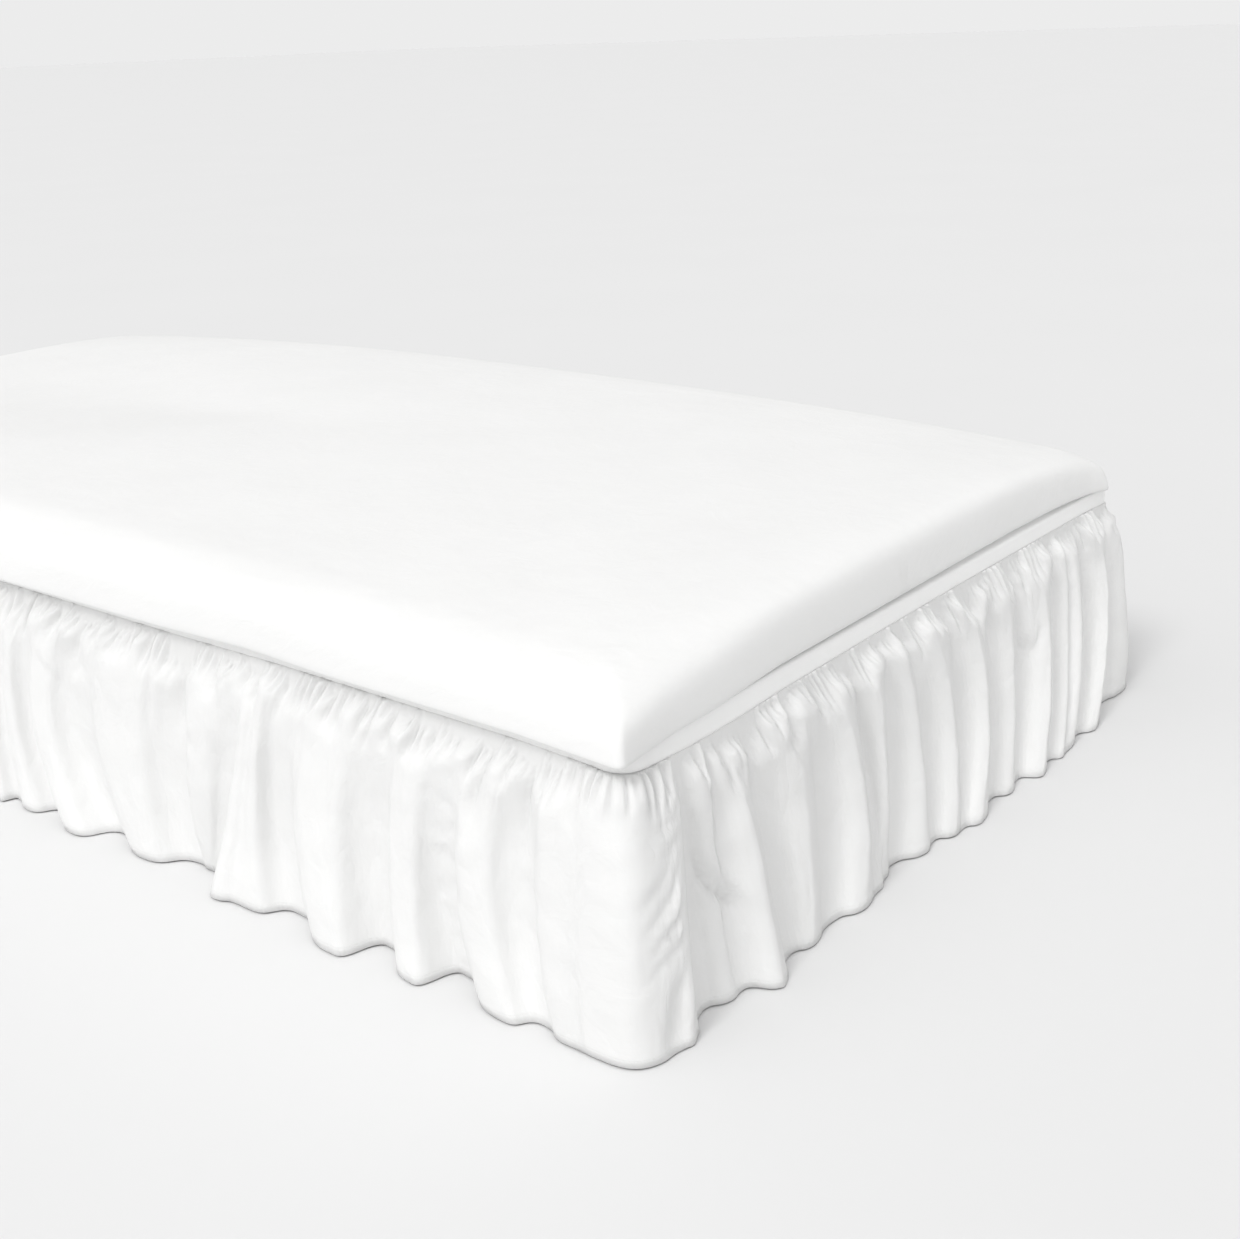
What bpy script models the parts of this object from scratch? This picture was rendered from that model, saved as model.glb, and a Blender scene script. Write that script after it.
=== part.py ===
"""Bed skirt: a gathered ruffle sewn to a flat band round a single bed's base, under a thin mattress.

Metres, +Z up, floor at z = 0.  The foot of the bed faces -Y and its head faces +Y.
A station is a distance along the base's edge: 0 at the left foot corner, growing along the foot
and then up the right side to the head, and negative up the left side.
"""

import math
import random
from collections import namedtuple

import bmesh
import bpy
from mathutils import Vector

# ---- driving dimensions ----
BED_WIDTH = 1.000
BED_LENGTH = 2.000
FOOT_Y = -0.970            # the base's foot face; it sets the origin under the middle of the whole
CORNER_RADIUS = 0.022
BASE_BOTTOM = 0.110
BASE_TOP = 0.287
BASE_EDGE = 0.004          # chamfer round the base's top
GAP = 0.0003               # between pieces that touch
LEG_RADIUS = 0.026
LEG_INSET = 0.110          # leg's axis from the base's faces
LEG_SIDES = 20

BAND_THICKNESS = 0.002
BAND_TOP = BASE_TOP - BASE_EDGE

CLOTH_THICKNESS = 0.0015
HEM_HEIGHT = 0.004         # hem's clearance over the floor
RUFFLE_END = 0.040         # the ruffle stops this far before each head corner
COLUMNS_PER_FLANK = 4      # mesh columns from a crest to the next valley
GATHER_DEPTH = 0.0045      # small gathers just under the seam, in and out by this
GATHER_REACH = 0.42        # share of the drop over which they die out
FULL_AT = 0.13             # share of the drop over which the gathers fill out
MID_AT = 0.50              # share of the drop at which mid_out is measured
FULLNESS = {"crest": 0.017, "valley": 0.010}     # how far the cloth stands out at FULL_AT
DROP_LEVELS = (0.0, 0.05, 0.13, 0.32, 0.62, 1.0)

MATTRESS_WIDTH = 0.995
MATTRESS_LENGTH = 1.991
MATTRESS_SHIFT_X = -0.025  # the mattress's left side from the base's left face
MATTRESS_SHIFT_Y = -0.015  # and its foot from the base's foot face
LIP_RADIUS = 0.008         # of its corners in plan, where it is widest
TOP_RADIUS = 0.040         # and on top
TOP_INSET = 0.036          # the corners have TOP_RADIUS from this inset on
# thickness halfway along each side, and at the corners of each end
SIDE_THICKNESS = {"foot": 0.066, "right": 0.066, "head": 0.039, "left": 0.060}
CORNER_THICKNESS = {"foot": 0.037, "head": 0.025}
CROWN = 0.012              # the middle of the top stands above its sides by this
FOOT_PINCH = 0.010         # the middle of the foot edge is drawn in by this
DROOP = 0.008              # what overhangs the base sags by this
DROOP_REACH = (0.010, 0.021)    # the sag starts and ends at these overhangs
CORNER_STEPS = 5           # mesh steps round each corner of the mattress
ACROSS_STEPS = 8           # along its foot and head, an even number
ALONG_STEPS = 14           # and along its sides

# The seam between band and ruffle dips a little where the skirt is pulled down.
SeamPoint = namedtuple("SeamPoint", "station height")
SEAM = (
    SeamPoint(-0.950, 0.2660),
    SeamPoint(-0.600, 0.2672),
    SeamPoint(-0.430, 0.2695),
    SeamPoint(-0.120, 0.2680),
    SeamPoint(-0.040, 0.2650),
    SeamPoint(0.000, 0.2615),
    SeamPoint(0.035, 0.2585),
    SeamPoint(0.100, 0.2558),
    SeamPoint(0.160, 0.2562),
    SeamPoint(0.240, 0.2592),
    SeamPoint(0.400, 0.2612),
    SeamPoint(0.600, 0.2625),
    SeamPoint(0.900, 0.2620),
    SeamPoint(0.965, 0.2602),
    SeamPoint(1.000, 0.2592),
    SeamPoint(1.035, 0.2600),
    SeamPoint(1.150, 0.2630),
)

# One row for each crest and valley of the folds, from far up the left side to the right corner.
# *_at are stations at the seam, at BOW_AT of the drop and at the hem, so that a fold can bow.
# *_out is how far the cloth stands off the base, at MID_AT of the drop and at the hem.
FoldLine = namedtuple("FoldLine", "kind seam_at bow_at hem_at mid_out hem_out")
SEEN_FOLDS = (
    FoldLine("crest", -0.925, -0.945, -0.926, 0.032, 0.052),
    FoldLine("valley", -0.905, -0.925, -0.913, 0.022, 0.036),
    FoldLine("crest", -0.880, -0.908, -0.872, 0.030, 0.047),
    FoldLine("valley", -0.848, -0.886, -0.836, 0.014, 0.024),
    FoldLine("crest", -0.800, -0.840, -0.775, 0.032, 0.053),
    FoldLine("valley", -0.748, -0.796, -0.728, 0.010, 0.018),
    FoldLine("crest", -0.660, -0.690, -0.658, 0.030, 0.042),
    FoldLine("valley", -0.572, -0.602, -0.592, 0.008, 0.012),
    FoldLine("crest", -0.528, -0.552, -0.576, 0.026, 0.016),
    FoldLine("valley", -0.480, -0.500, -0.556, 0.012, 0.016),
    FoldLine("crest", -0.462, -0.480, -0.518, 0.030, 0.054),
    FoldLine("valley", -0.452, -0.470, -0.494, 0.028, 0.047),
    FoldLine("crest", -0.442, -0.462, -0.468, 0.030, 0.047),
    FoldLine("valley", -0.410, -0.444, -0.424, 0.010, 0.022),
    FoldLine("crest", -0.335, -0.362, -0.330, 0.034, 0.057),
    FoldLine("valley", -0.264, -0.288, -0.300, 0.010, 0.014),
    FoldLine("crest", -0.222, -0.248, -0.229, 0.028, 0.047),
    FoldLine("valley", -0.176, -0.206, -0.203, 0.008, 0.006),
    FoldLine("crest", -0.132, -0.158, -0.115, 0.030, 0.044),
    FoldLine("valley", -0.088, -0.110, -0.084, 0.008, 0.027),
    # the broad smooth fold that wraps the left foot corner
    FoldLine("crest", -0.050, -0.062, -0.045, 0.030, 0.038),
    FoldLine("crest", -0.002, -0.004, -0.003, 0.038, 0.048),
    FoldLine("crest", 0.044, 0.048, 0.030, 0.037, 0.047),
    # foot of the bed
    FoldLine("valley", 0.068, 0.074, 0.072, 0.008, 0.028),
    FoldLine("crest", 0.090, 0.094, 0.102, 0.022, 0.034),
    FoldLine("valley", 0.112, 0.116, 0.124, 0.014, 0.032),
    FoldLine("crest", 0.134, 0.150, 0.152, 0.034, 0.060),
    FoldLine("valley", 0.168, 0.194, 0.203, 0.008, 0.035),
    FoldLine("crest", 0.226, 0.244, 0.229, 0.028, 0.045),
    FoldLine("valley", 0.262, 0.298, 0.275, 0.010, 0.035),
    FoldLine("crest", 0.300, 0.336, 0.322, 0.032, 0.050),
    FoldLine("valley", 0.346, 0.380, 0.362, 0.008, 0.042),
    FoldLine("crest", 0.376, 0.398, 0.385, 0.024, 0.035),
    FoldLine("valley", 0.408, 0.434, 0.415, 0.006, 0.025),
    FoldLine("crest", 0.430, 0.462, 0.460, 0.026, 0.042),
    FoldLine("valley", 0.452, 0.494, 0.488, 0.010, 0.036),
    FoldLine("crest", 0.496, 0.532, 0.513, 0.030, 0.050),
    FoldLine("valley", 0.540, 0.578, 0.533, 0.012, 0.049),
    FoldLine("crest", 0.580, 0.610, 0.556, 0.034, 0.059),
    FoldLine("valley", 0.634, 0.662, 0.618, 0.010, 0.041),
    FoldLine("crest", 0.664, 0.692, 0.642, 0.026, 0.052),
    FoldLine("valley", 0.704, 0.728, 0.681, 0.010, 0.041),
    FoldLine("crest", 0.756, 0.772, 0.706, 0.036, 0.063),
    FoldLine("valley", 0.808, 0.826, 0.750, 0.012, 0.049),
    FoldLine("crest", 0.826, 0.842, 0.768, 0.028, 0.059),
    FoldLine("valley", 0.838, 0.852, 0.783, 0.024, 0.057),
    FoldLine("crest", 0.850, 0.866, 0.800, 0.034, 0.057),
    FoldLine("valley", 0.880, 0.914, 0.836, 0.010, 0.046),
    FoldLine("crest", 0.926, 0.944, 0.866, 0.036, 0.059),
    FoldLine("valley", 0.968, 0.972, 0.945, 0.014, 0.030),
    FoldLine("crest", 1.004, 1.008, 1.003, 0.037, 0.040),
    # just round the right corner
    FoldLine("valley", 1.046, 1.052, 1.050, 0.016, 0.018),
    FoldLine("crest", 1.100, 1.108, 1.108, 0.035, 0.042),
)
BOW_AT = 0.35
# Out of view the folds keep the same uneven spacing and reach.
HIDDEN_PITCH = 0.098       # crest to crest
HIDDEN_VALLEY_OUT = (0.008, 0.034)
HIDDEN_CREST_OUT = (0.042, 0.058)
HIDDEN_LEAN = 0.018
HIDDEN_BOW = 0.014

WHITE_COTTON = (0.86, 0.87, 0.87, 1.0)
WHITE_SHEET = (0.88, 0.89, 0.89, 1.0)
BASE_CLOTH = (0.72, 0.71, 0.69, 1.0)
LEG_WOOD = (0.52, 0.36, 0.21, 1.0)

LEFT_X = -BED_WIDTH / 2
AROUND = 2 * (BED_WIDTH + BED_LENGTH)
Corner = namedtuple("Corner", "station side_x side_y")
CORNERS = (
    Corner(0.0, -1, -1),
    Corner(BED_WIDTH, 1, -1),
    Corner(BED_WIDTH + BED_LENGTH, 1, 1),
    Corner(2 * BED_WIDTH + BED_LENGTH, -1, 1),
)


# ---- helpers ----
def material(name, colour, roughness):
    """A plain Principled material."""
    made = bpy.data.materials.new(name)
    made.use_nodes = True
    shader = made.node_tree.nodes["Principled BSDF"]
    shader.inputs["Base Color"].default_value = colour
    shader.inputs["Roughness"].default_value = roughness
    shader.inputs["Metallic"].default_value = 0.0
    made.diffuse_color = colour
    return made


def add_object(name, mesh, surface):
    """Put a bmesh into the scene as a named object with its material."""
    data = bpy.data.meshes.new(name)
    mesh.to_mesh(data)
    mesh.free()
    piece = bpy.data.objects.new(name, data)
    bpy.context.collection.objects.link(piece)
    data.materials.append(surface)
    return piece


def blend(start, end, share):
    """From start to end along half a cosine wave."""
    return start + (end - start) * (1 - math.cos(math.pi * share)) / 2


def heading(angle):
    return Vector((math.cos(angle), math.sin(angle)))


def plan_point(station, out):
    """A station's place on the base's rounded edge, moved `out` away from the bed."""
    distances = [(station - c.station + AROUND / 2) % AROUND - AROUND / 2 for c in CORNERS]
    index = min(range(len(CORNERS)), key=lambda i: abs(distances[i]))
    ahead, nearest = distances[index], CORNERS[index]
    corner = Vector((nearest.side_x * BED_WIDTH / 2,
                     FOOT_Y + (BED_LENGTH if nearest.side_y > 0 else 0)))
    normal = math.pi * (1 + index / 2)      # of the side that leads up to this corner
    if abs(ahead) < CORNER_RADIUS:
        centre = corner - CORNER_RADIUS * Vector((nearest.side_x, nearest.side_y))
        turned = normal + (ahead / CORNER_RADIUS + 1) * math.pi / 4
        return centre + (CORNER_RADIUS + out) * heading(turned)
    if ahead > 0:
        normal += math.pi / 2
    return corner + ahead * heading(normal + math.pi / 2) + out * heading(normal)


def ring_stations(step):
    """Stations all the way round the base: close together at the corners, `step` apart between."""
    stations = []
    for index, corner in enumerate(CORNERS):
        arc = [corner.station + CORNER_RADIUS * share / 3 for share in range(-3, 4)]
        following = CORNERS[(index + 1) % len(CORNERS)].station
        run = (following - corner.station) % AROUND - 2 * CORNER_RADIUS
        count = max(1, round(run / step))
        between = [arc[-1] + run * i / count for i in range(1, count)]
        stations += arc + between
    return stations


def seam_height(station):
    """Height of the seam at a station, straight between the rows of SEAM."""
    if station > BED_WIDTH + BED_LENGTH:
        station -= AROUND
    if station <= SEAM[0].station:
        return SEAM[0].height
    for low, high in zip(SEAM, SEAM[1:]):
        if station <= high.station:
            share = (station - low.station) / (high.station - low.station)
            return low.height + (high.height - low.height) * share
    return SEAM[-1].height


def stacked_loops(loops, top_cap=True):
    """A solid through loops of the same point count, bottom to top, with flat caps."""
    mesh = bmesh.new()
    rings = [[mesh.verts.new(point) for point in loop] for loop in loops]
    mesh.faces.new(list(reversed(rings[0])))
    for low, high in zip(rings, rings[1:]):
        count = len(low)
        for i in range(count):
            j = (i + 1) % count
            mesh.faces.new((low[i], low[j], high[j], high[i]))
    if top_cap:
        mesh.faces.new(rings[-1])
    bmesh.ops.recalc_face_normals(mesh, faces=mesh.faces)
    return mesh


# ---- base and legs ----
def make_base():
    stations = ring_stations(BED_WIDTH)
    sections = ((0.0, BASE_BOTTOM), (0.0, BAND_TOP), (-BASE_EDGE, BASE_TOP))
    loops = [[plan_point(s, out).to_3d() + Vector((0, 0, z)) for s in stations]
             for out, z in sections]
    return add_object("base", stacked_loops(loops), material("base_cloth", BASE_CLOTH, 0.9))


def make_legs():
    """Six short round legs: one near each corner and one halfway along each side."""
    wood = material("leg_wood", LEG_WOOD, 0.5)
    height = BASE_BOTTOM - GAP
    for side, x_sign in (("left", -1), ("right", 1)):
        for place, share in (("foot", 0.0), ("middle", 0.5), ("head", 1.0)):
            mesh = bmesh.new()
            bmesh.ops.create_cone(mesh, cap_ends=True, segments=LEG_SIDES, radius1=LEG_RADIUS,
                                  radius2=LEG_RADIUS, depth=height)
            y = FOOT_Y + LEG_INSET + share * (BED_LENGTH - 2 * LEG_INSET)
            x = x_sign * (BED_WIDTH / 2 - LEG_INSET)
            bmesh.ops.translate(mesh, verts=mesh.verts, vec=(x, y, height / 2))
            leg = add_object(f"leg_{side}_{place}", mesh, wood)
            leg.data.shade_smooth()
            leg.data.set_sharp_from_angle(angle=math.radians(40))


# ---- band ----
def make_band():
    """The flat heading: a strip right round the base, its lower edge on the seam."""
    outer = GAP + BAND_THICKNESS
    stations = ring_stations(BED_WIDTH / 2) + [point.station for point in SEAM]
    stations = sorted({round(s % AROUND, 6) for s in stations})
    mesh = bmesh.new()
    lower = [mesh.verts.new((*plan_point(s, outer), seam_height(s))) for s in stations]
    upper = [mesh.verts.new((*plan_point(s, outer), BAND_TOP)) for s in stations]
    for i in range(len(stations)):
        j = (i + 1) % len(stations)
        mesh.faces.new((lower[i], lower[j], upper[j], upper[i]))
    band = add_object("band", mesh, material("band_cotton", WHITE_COTTON, 0.85))
    wall = band.modifiers.new("Thickness", "SOLIDIFY")
    wall.thickness = BAND_THICKNESS
    wall.offset = -1.0
    return band


# ---- ruffle ----
def hidden_folds(first, last, seed):
    """Fold lines for a stretch out of view, starting on a valley."""
    rng = random.Random(seed)
    bows = random.Random(seed + 1)
    flanks = 2 * round((last - first) / HIDDEN_PITCH)
    lines = []
    for i in range(flanks + 1):
        station = first + (last - first) * i / flanks
        if 0 < i < flanks:
            station += rng.uniform(-0.2, 0.2) * HIDDEN_PITCH / 2
        kind = "crest" if i % 2 else "valley"
        reach = rng.uniform(*(HIDDEN_CREST_OUT if i % 2 else HIDDEN_VALLEY_OUT))
        lean = rng.uniform(-HIDDEN_LEAN, HIDDEN_LEAN) if 0 < i < flanks else 0.0
        bow = bows.uniform(-HIDDEN_BOW, HIDDEN_BOW) if 0 < i < flanks else 0.0
        mid = reach * (0.62 if i % 2 else 0.35) + 0.002
        lines.append(FoldLine(kind, station, station + lean / 2 + bow, station + lean, mid, reach))
    return lines


def fold_lines():
    """Every crest and valley, from the left head end round the foot to the right head end."""
    left_end = -(BED_LENGTH - RUFFLE_END)
    right_end = BED_WIDTH + BED_LENGTH - RUFFLE_END
    spare = HIDDEN_PITCH / 2
    left = hidden_folds(left_end, SEEN_FOLDS[0].seam_at - spare, seed=11)
    right = hidden_folds(SEEN_FOLDS[-1].seam_at + spare, right_end, seed=23)
    return left + list(SEEN_FOLDS) + right


def column_lines(lines):
    """Finer lines between the fold lines, one for each column of the ruffle's mesh."""
    columns = []
    for start, end in zip(lines, lines[1:]):
        for step in range(COLUMNS_PER_FLANK):
            share = step / COLUMNS_PER_FLANK
            columns.append((
                start.seam_at + (end.seam_at - start.seam_at) * share,
                start.bow_at + (end.bow_at - start.bow_at) * share,
                start.hem_at + (end.hem_at - start.hem_at) * share,
                blend(FULLNESS[start.kind], FULLNESS[end.kind], share),
                blend(start.mid_out, end.mid_out, share),
                blend(start.hem_out, end.hem_out, share),
            ))
    last = lines[-1]
    columns.append((last.seam_at, last.bow_at, last.hem_at, FULLNESS[last.kind], last.mid_out,
                    last.hem_out))
    return columns


def through(share, *points):
    """A parabola's value at a share of the drop; it runs through three points (share, value)."""
    total = 0.0
    for at, value in points:
        for other, _ in points:
            if other != at:
                value *= (share - other) / (at - other)
        total += value
    return total


def stand_off(drop, full_out, mid_out, hem_out):
    """How far the cloth stands off the base at a share of its drop."""
    seam_out = GAP + BAND_THICKNESS
    if drop < FULL_AT:
        return seam_out + (full_out - seam_out) * math.sin(math.pi / 2 * drop / FULL_AT)
    return through(drop, (FULL_AT, full_out), (MID_AT, mid_out), (1.0, hem_out))


def make_ruffle():
    """One gathered sheet round three sides, hung from the band's lower edge."""
    columns = column_lines(fold_lines())
    mesh = bmesh.new()
    previous = None
    for drop in DROP_LEVELS:
        row = []
        for index, (seam_at, bow_at, hem_at, full_out, mid_out, hem_out) in enumerate(columns):
            station = through(drop, (0.0, seam_at), (BOW_AT, bow_at), (1.0, hem_at))
            out = stand_off(drop, full_out, mid_out, hem_out)
            gather = math.sin(math.pi * min(1.0, drop / GATHER_REACH))
            out += GATHER_DEPTH * gather * (0.5 if index % 2 else -0.5)
            top = seam_height(seam_at) - GAP
            height = top + (HEM_HEIGHT - top) * drop
            row.append(mesh.verts.new((*plan_point(station, out), height)))
        if previous:
            for i in range(len(row) - 1):
                mesh.faces.new((previous[i], row[i], row[i + 1], previous[i + 1]))
        previous = row
    bmesh.ops.recalc_face_normals(mesh, faces=mesh.faces)
    ruffle = add_object("ruffle", mesh, material("ruffle_cotton", WHITE_COTTON, 0.85))
    ruffle.data.shade_smooth()
    wall = ruffle.modifiers.new("Thickness", "SOLIDIFY")
    wall.thickness = CLOTH_THICKNESS
    wall.offset = -1.0
    return ruffle


# ---- mattress ----
def rounded_outline(half_x, half_y, radius, count_x, count_y):
    """Points round a rounded rectangle centred on the origin, anticlockwise."""
    points = []
    for quarter in range(4):
        sign_x = 1 if quarter in (0, 3) else -1
        sign_y = 1 if quarter in (0, 1) else -1
        centre = Vector((sign_x * (half_x - radius), sign_y * (half_y - radius)))
        arc = [centre + radius * heading((quarter + i / CORNER_STEPS) * math.pi / 2)
               for i in range(CORNER_STEPS + 1)]
        points += arc
        along_x = quarter in (0, 2)
        count = count_x if along_x else count_y
        run = 2 * ((half_x if along_x else half_y) - radius)
        direction = heading((quarter + 1) * math.pi / 2 + math.pi / 2)
        points += [arc[-1] + direction * run * i / count for i in range(1, count)]
    return points


def overhang(x, y):
    """How far a point lies outside the base's rounded outline."""
    off_x = abs(x) - (BED_WIDTH / 2 - CORNER_RADIUS)
    off_y = abs(y - FOOT_Y - BED_LENGTH / 2) - (BED_LENGTH / 2 - CORNER_RADIUS)
    if off_x > 0 and off_y > 0:
        return math.hypot(off_x, off_y) - CORNER_RADIUS
    return max(off_x, off_y) - CORNER_RADIUS


def mattress_thickness(u, v):
    """Thickness at a place on the mattress; u and v run from -1 to 1 across it and along it."""
    nearness = {"right": max(0.0, u), "left": max(0.0, -u), "head": max(0.0, v),
                "foot": max(0.0, -v)}
    total = sum(near ** 2 for near in nearness.values()) + 1e-6
    side = sum(SIDE_THICKNESS[name] * near ** 2 for name, near in nearness.items()) / total
    corner = CORNER_THICKNESS["head" if v > 0 else "foot"]
    squareness = (min(1.0, abs(u)) * min(1.0, abs(v))) ** 3
    crown = CROWN * max(0.0, 1 - u * u) * max(0.0, 1 - v * v)
    return side + (corner - side) * squareness + crown


def mattress_point(point, height_share):
    """Place an outline point: pinch the foot, lift it by its share of the thickness, let it sag."""
    half_x, half_y = MATTRESS_WIDTH / 2, MATTRESS_LENGTH / 2
    u, v = point.x / half_x, point.y / half_y
    thickness = mattress_thickness(u, v)
    foot_pull = FOOT_PINCH * max(0.0, 1 - u ** 4) * ((1 - v) / 2) ** 12
    x = LEFT_X + MATTRESS_SHIFT_X + half_x + point.x
    y = FOOT_Y + MATTRESS_SHIFT_Y + half_y + point.y + foot_pull
    start, end = DROOP_REACH
    sag = DROOP * blend(0, 1, min(1.0, max(0.0, (overhang(x, y) - start) / (end - start))))
    sag *= 1 - max(0.0, v) ** 12        # the head end lies on the base
    return Vector((x, y, BASE_TOP + GAP + thickness * height_share - sag))


def cap_in_strips(mesh, ring):
    """Close the mattress's top ring: one face along its head, one along its foot, strips between."""
    count = len(ring)
    middle = CORNER_STEPS + ACROSS_STEPS // 2       # the point halfway along the head
    end_steps = ACROSS_STEPS // 2 + 1
    for centre in (middle, middle + count // 2):
        mesh.faces.new([ring[(centre + i) % count] for i in range(-end_steps, end_steps + 1)])
    for step in range(end_steps, count // 2 - end_steps):
        mesh.faces.new((ring[(middle + step) % count], ring[(middle + step + 1) % count],
                        ring[(middle - step - 1) % count], ring[(middle - step) % count]))


def make_mattress():
    """A thin pad in its sheet: widest at its lip, rolled over softly at the top, flat below."""
    # inset from the widest outline, and share of the thickness
    sections = (
        (0.060, 0.00), (0.026, 0.00), (0.021, 0.00), (0.016, 0.00), (0.010, 0.00),
        (0.0036, 0.004), (0.0005, 0.065), (0.000, 0.12), (0.0009, 0.30), (0.0025, 0.51),
        (0.005, 0.70), (0.0092, 0.832), (0.0158, 0.915), (0.036, 0.985), (0.070, 1.00),
        (0.150, 1.00), (0.260, 1.00), (0.380, 1.00),
    )
    loops = []
    for inset, share in sections:
        radius = LIP_RADIUS + (TOP_RADIUS - LIP_RADIUS) * min(1.0, inset / TOP_INSET)
        outline = rounded_outline(MATTRESS_WIDTH / 2 - inset, MATTRESS_LENGTH / 2 - inset, radius,
                                  ACROSS_STEPS, ALONG_STEPS)
        loops.append([mattress_point(point, share) for point in outline])
    mesh = stacked_loops(loops, top_cap=False)
    cap_in_strips(mesh, list(mesh.verts)[-len(loops[-1]):])
    bmesh.ops.recalc_face_normals(mesh, faces=mesh.faces)
    mattress = add_object("mattress", mesh, material("sheet_cotton", WHITE_SHEET, 0.85))
    mattress.data.shade_smooth()
    mattress.data.set_sharp_from_angle(angle=math.radians(60))
    return mattress


def main():
    for item in list(bpy.data.objects):
        bpy.data.objects.remove(item, do_unlink=True)
    make_base()
    make_legs()
    make_band()
    make_ruffle()
    make_mattress()


main()
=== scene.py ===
"""Bed skirt: a gathered cotton ruffle on its band, round a single bed's base, under a thin mattress.

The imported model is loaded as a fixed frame, and the cloth, the base and the studio are built round it.
Metres, +Z up, floor at z = 0.  The foot of the bed faces -Y and its head faces +Y.
A station is a distance along the base's edge: 0 at the left foot corner, growing along the foot and
then up the right side to the head, and negative up the left side.
The tables that go through in_metres are written in millimetres, and all else is in metres.
"""

import math
import random
from collections import namedtuple

import bmesh
import bpy
import numpy as np
from bpy.props import FloatProperty, FloatVectorProperty, IntProperty, PointerProperty
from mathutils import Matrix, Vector, noise


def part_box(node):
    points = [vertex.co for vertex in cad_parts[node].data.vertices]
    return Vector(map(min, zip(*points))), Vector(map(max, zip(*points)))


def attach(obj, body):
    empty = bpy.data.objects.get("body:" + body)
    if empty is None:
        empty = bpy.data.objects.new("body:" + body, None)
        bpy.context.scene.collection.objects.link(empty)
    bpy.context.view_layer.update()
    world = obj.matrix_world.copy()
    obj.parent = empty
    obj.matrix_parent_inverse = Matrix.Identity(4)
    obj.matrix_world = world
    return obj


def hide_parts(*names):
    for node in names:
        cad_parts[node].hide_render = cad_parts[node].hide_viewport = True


bl_info = {
    "name": "Bed Skirt",
    "version": (1, 0, 0),
    "blender": (4, 5, 0),
    "location": "3D View > Sidebar > Bed Skirt",
    "description": "Builds a gathered bed skirt on its base and mattress, with a plain studio",
    "category": "Object",
}

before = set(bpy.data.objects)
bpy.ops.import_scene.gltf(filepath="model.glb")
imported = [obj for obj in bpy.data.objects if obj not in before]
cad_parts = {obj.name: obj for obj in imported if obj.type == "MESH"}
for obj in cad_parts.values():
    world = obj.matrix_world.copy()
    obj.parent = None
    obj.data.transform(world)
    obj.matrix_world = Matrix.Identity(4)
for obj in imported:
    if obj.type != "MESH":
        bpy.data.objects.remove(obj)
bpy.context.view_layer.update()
BODY = "root"

# ---- the bed, from the frame ----
BASE_LOW, BASE_HIGH = (Vector(corner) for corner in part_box("base"))
BED_WIDTH = BASE_HIGH.x - BASE_LOW.x
BED_LENGTH = BASE_HIGH.y - BASE_LOW.y
BASE_MIDDLE = (BASE_LOW + BASE_HIGH) / 2
BASE_TOP = BASE_HIGH.z
AROUND = 2 * (BED_WIDTH + BED_LENGTH)
CORNER_RADIUS = 0.022
CORNER_POWER = 2.6          # above 2, the hanging cloth turns the corner over a soft edge
EDGED_OUT = 0.030           # how far off the bed it does so
BASE_EDGE = 0.020           # rounding of the base's top edge


def in_metres(kind, rows):
    """A table's rows, written in millimetres, as named values in metres."""
    return tuple(kind(*(item if isinstance(item, str) else item / 1000 for item in row))
                 for row in rows)


# The seam between band and ruffle dips a little where the skirt is pulled down.
SeamPoint = namedtuple("SeamPoint", "station height")
SEAM = in_metres(SeamPoint, (
    (-950, 266), (-600, 267.2), (-430, 269.5), (-120, 268),
    (-40, 265), (0, 261.5), (35, 258.5), (100, 255.8),
    (160, 256.2), (240, 259.2), (400, 261.2), (600, 262.5),
    (900, 262), (965, 260.2), (1000, 259.2), (1035, 260),
    (1150, 263),
))

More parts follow.
